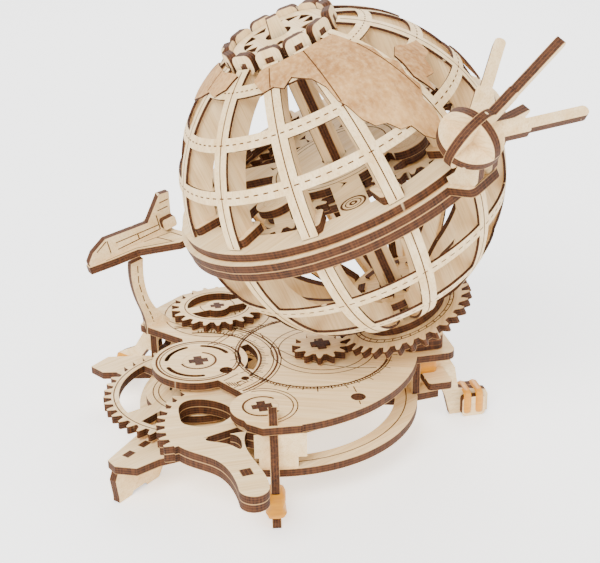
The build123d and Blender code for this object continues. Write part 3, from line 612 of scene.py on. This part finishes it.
def shuttle_lines():
    place = shuttle_frame()
    wing_up = (place.to_3x3() @ UP).normalized()
    side_out = (place.to_3x3() @ Vector((0, -1, 0))).normalized()
    top = []
    for sign in (-1, 1):
        top.append(shuttle_path([(6, sign * 2.4, 0), (18, sign * 3.9, 0), (30, sign * 12.0, 0)], place))
        top.append(shuttle_path([(22, sign * 2.2, 0), (32.5, sign * 4.5, 0), (34.5, sign * 13.5, 0)], place))
        top.append(shuttle_path([(27, sign * 3.3, 0), (29.5, sign * 11.0, 0)], place))
    engrave("shuttle_wing_lines", "shuttle_wings", top, FINE, lambda _point: wing_up)
    side = [shuttle_path([(x0, -1.5, z0), (x1, -1.5, z1)], place)
            for x0, z0, x1, z1 in SIDE_LINES]
    engrave("shuttle_side_lines", "shuttle_fuselage", side, FINE, lambda _point: side_out)
    foot = Matrix.Translation(spot(*ARM_PLACE)) @ Matrix.Rotation(ARM_TURN, 4, "Z")
    spine = ((-7.7, 57), (-7.7, 50), (-5.9, 42), (-3.6, 36), (-2.6, 32.5))
    arm = shuttle_path([(x, -1.5, z) for x, z in spine], foot)
    arm_out = (foot.to_3x3() @ Vector((0, -1, 0))).normalized()
    engrave("arm_dashes", "shuttle_arm", list(dashes(arm, 5, 2)), FINE, lambda _point: arm_out)


deck_lines()
gear_lines()
tilted_lines()
skin_lines()
shuttle_lines()


# ---- rubber bands ------------------------------------------------------------------
def wrap(name, origin, along, across, up, sections):
    """A band wound round a leg. Each section is (height, low, high, half width, swell)."""
    rows = []
    turns = 40
    for height, low, high, half, swell in sections:
        middle = (low + high) / 2
        row = []
        for i in range(turns):
            angle = 2 * math.pi * i / turns
            ripple = swell * (1 + 0.12 * math.sin(3 * angle + height))
            c = math.copysign(abs(math.cos(angle)) ** 0.4, math.cos(angle)) * ((high - low) / 2 + ripple)
            s = math.copysign(abs(math.sin(angle)) ** 0.4, math.sin(angle)) * (half + ripple)
            row.append(origin + (along * (middle + c) + across * s + up * height) * MM)
        rows.append(row)
    corners = [corner for row in rows for corner in row]
    faces = []
    for j in range(len(rows) - 1):
        for i in range(turns):
            k = (i + 1) % turns
            faces.append((j * turns + i, j * turns + k, (j + 1) * turns + k, (j + 1) * turns + i))
    mesh = bpy.data.meshes.new(name)
    mesh.from_pydata(corners, [], faces)
    mesh.materials.append(AMBER)
    for polygon in mesh.polygons:
        polygon.use_smooth = True
    piece = bpy.data.objects.new(name, mesh)
    bpy.context.scene.collection.objects.link(piece)
    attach(piece, "stand")
    return piece


def direction(angle):
    return Vector((math.cos(math.radians(angle)), math.sin(math.radians(angle)), 0))


def bands():
    """The bands on the feet, each swelling into two rolls, and the one on the right-hand post."""
    made = [
        wrap("front_band", spot(-32.6, -41.0), direction(-99), direction(-9), UP,
             ((3.2, 9.6, 16.8, 1.4, 0.1), (3.8, 9.5, 16.4, 1.5, 1.3), (5.2, 9.0, 15.8, 1.5, 1.9),
              (6.6, 8.3, 15.1, 1.5, 1.1), (8.0, 7.7, 14.3, 1.5, 1.8), (9.4, 7.1, 13.6, 1.5, 1.3),
              (10.2, 6.8, 13.2, 1.4, 0.1))),
        wrap("rear_band", spot(-62.5, 50.0), direction(128), direction(38), UP,
             ((3.6, 9.9, 20.0, 1.4, 0.1), (4.2, 9.7, 20.0, 1.5, 1.1), (6.0, 9.1, 20.0, 1.5, 1.5),
              (7.8, 8.4, 19.6, 1.5, 1.1), (8.4, 8.2, 19.2, 1.4, 0.1))),
    ]
    sideways = Vector((1, 0, 0))
    for number, x in enumerate((48.9, 53.6)):
        made.append(wrap(f"right_band_{number + 1}", spot(x, 0), UP, NORTH_SIDE, sideways,
                         ((-1.5, 1.4, 9.9, 4.4, 0.1), (-1.1, 1.4, 10.0, 4.5, 0.7),
                          (0.0, 1.4, 10.0, 4.5, 0.95), (1.1, 1.4, 10.0, 4.5, 0.7),
                          (1.5, 1.4, 9.9, 4.4, 0.1))))
    made.append(wrap("post_band", spot(32.5, 0), sideways, NORTH_SIDE, UP,
                     ((20.5, -3.0, 3.0, 4.6, 0.1), (21.1, -3.0, 3.0, 4.6, 0.8), (23.4, -3.0, 3.0, 4.6, 1.0),
                      (25.8, -3.0, 3.0, 4.6, 0.8), (26.4, -3.0, 3.0, 4.6, 0.1))))
    return made


WOUND = bands()
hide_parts("rubber_bands")


# ---- floor, light and camera -------------------------------------------------------
def lit_paper(name, colour, glow=0.9):
    """Matt white paper that gives off a little light, as a backlit studio sweep does."""
    shader = Shader(name, rough=0.9, specular=0.1)
    shader.surface.inputs["Emission Color"].default_value = (1, 1, 1, 1)
    shader.surface.inputs["Emission Strength"].default_value = glow
    return shader.finish(colour)


def floor():
    size = 6.0
    mesh = bpy.data.meshes.new("floor")
    corners = [(-size, -size, 0), (size, -size, 0), (size, size, 0), (-size, size, 0)]
    mesh.from_pydata(corners, [], [(0, 1, 2, 3)])
    mesh.materials.append(lit_paper("floor_paper", srgb(250, 250, 250)))
    piece = bpy.data.objects.new("floor", mesh)
    piece.location.z = -0.0001
    bpy.context.scene.collection.objects.link(piece)


def softbox(name, place, target, size, power, colour=(1, 1, 1)):
    light = bpy.data.lights.new(name, "AREA")
    light.shape = "RECTANGLE"
    light.size = size[0]
    light.size_y = size[1]
    light.energy = power
    light.color = colour
    lamp = bpy.data.objects.new(name, light)
    lamp.location = place
    lamp.rotation_euler = (Vector(target) - Vector(place)).to_track_quat("-Z", "Y").to_euler()
    bpy.context.scene.collection.objects.link(lamp)


def lights():
    world = bpy.data.worlds.new("studio")
    world.use_nodes = True
    world.node_tree.nodes["Background"].inputs["Color"].default_value = (1, 1, 1, 1)
    world.node_tree.nodes["Background"].inputs["Strength"].default_value = 1.35
    bpy.context.scene.world = world
    aim = (0, 0, 0.08)
    softbox("key", (-0.55, -0.75, 0.95), aim, (0.6, 0.6), 25, (1.0, 0.985, 0.96))
    softbox("fill", (0.9, -0.6, 0.5), aim, (0.9, 0.9), 6)
    softbox("back", (0.2, 0.9, 0.8), aim, (0.9, 0.6), 12)


EYE = (Vector((-97.0, -390.8, 239.3)) + SHIFT) * MM
LOOK_AT = (Vector((0.0, 65.4, 31.0)) + SHIFT) * MM
ROLL = math.radians(-0.98)


def camera():
    data = bpy.data.cameras.new("view")
    data.sensor_width = 36.0
    data.lens = 74.46
    eye = bpy.data.objects.new("view", data)
    forward = (LOOK_AT - EYE).normalized()
    right = forward.cross(UP).normalized()
    above = right.cross(forward)
    right, above = (right * math.cos(ROLL) + above * math.sin(ROLL),
                    above * math.cos(ROLL) - right * math.sin(ROLL))
    turn = Matrix((right, above, -forward)).transposed()
    eye.matrix_world = Matrix.Translation(EYE) @ turn.to_4x4()
    bpy.context.scene.collection.objects.link(eye)
    bpy.context.scene.camera = eye


floor()
lights()
camera()
